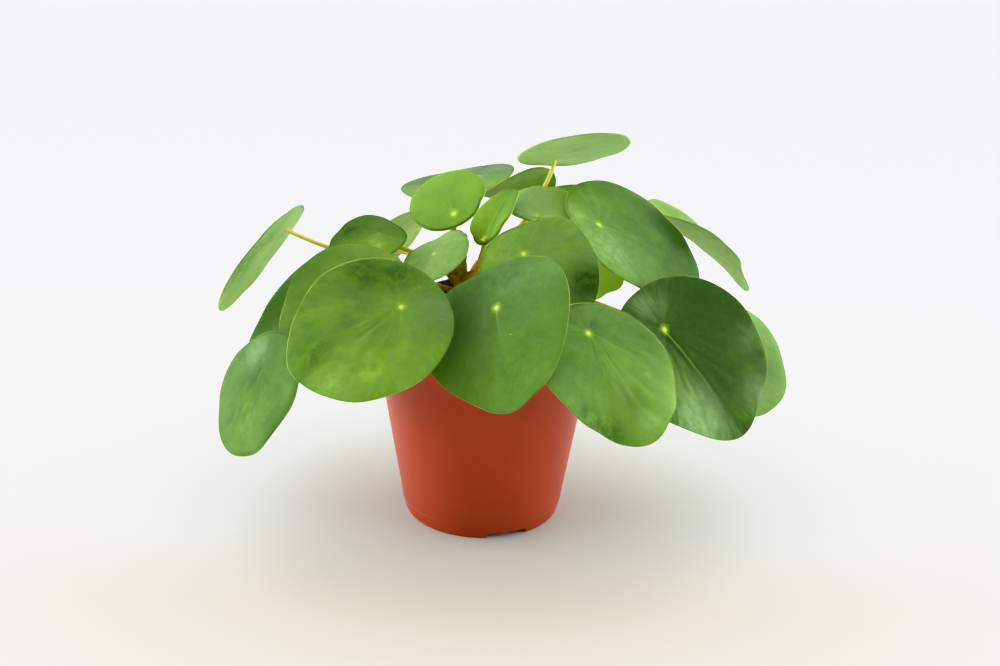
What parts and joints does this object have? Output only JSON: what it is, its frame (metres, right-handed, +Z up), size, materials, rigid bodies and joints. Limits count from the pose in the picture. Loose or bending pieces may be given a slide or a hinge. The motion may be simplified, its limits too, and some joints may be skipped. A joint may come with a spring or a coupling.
{
  "type": "potted chinese money plant",
  "caption": "Potted Chinese money plant with round, long-stalked leaves round a short woody trunk, in a terracotta-coloured plastic nursery pot.",
  "frame": {"origin": "centre of the flat disc under the pot, where the pot's axis meets the surface it stands on", "axes": "+Z up along the pot's axis, -Y toward the viewer of the reference view, +X to the viewer's right"},
  "size_m": [0.2942, 0.2441, 0.2061],
  "materials": {
    "pot": "satin",
    "soil": "matte",
    "trunk": "matte",
    "stalk": "satin",
    "leaf": "satin"
  },
  "bodies": {
    "root": {"pot": "pot", "soil": "soil", "trunk": "trunk", "stalk_01": "stalk", "leaf_01": "leaf", "stalk_02": "stalk", "leaf_02": "leaf", "stalk_03": "stalk", "leaf_03": "leaf", "stalk_04": "stalk", "leaf_04": "leaf", "stalk_05": "stalk", "leaf_05": "leaf", "stalk_06": "stalk", "leaf_06": "leaf", "stalk_07": "stalk", "leaf_07": "leaf", "stalk_08": "stalk", "leaf_08": "leaf", "stalk_09": "stalk", "leaf_09": "leaf", "stalk_10": "stalk", "leaf_10": "leaf", "stalk_11": "stalk", "leaf_11": "leaf", "stalk_12": "stalk", "leaf_12": "leaf", "stalk_13": "stalk", "leaf_13": "leaf", "stalk_14": "stalk", "leaf_14": "leaf", "stalk_15": "stalk", "leaf_15": "leaf", "stalk_16": "stalk", "leaf_16": "leaf", "stalk_17": "stalk", "leaf_17": "leaf", "stalk_18": "stalk", "leaf_18": "leaf", "stalk_19": "stalk", "leaf_19": "leaf", "stalk_20": "stalk", "leaf_20": "leaf", "stalk_21": "stalk", "leaf_21": "leaf", "stalk_22": "stalk", "leaf_22": "leaf", "stalk_23": "stalk", "leaf_23": "leaf", "stalk_24": "stalk", "leaf_24": "leaf", "stalk_25": "stalk", "leaf_25": "leaf", "stalk_26": "stalk", "leaf_26": "leaf"}
  },
  "joints": []
}
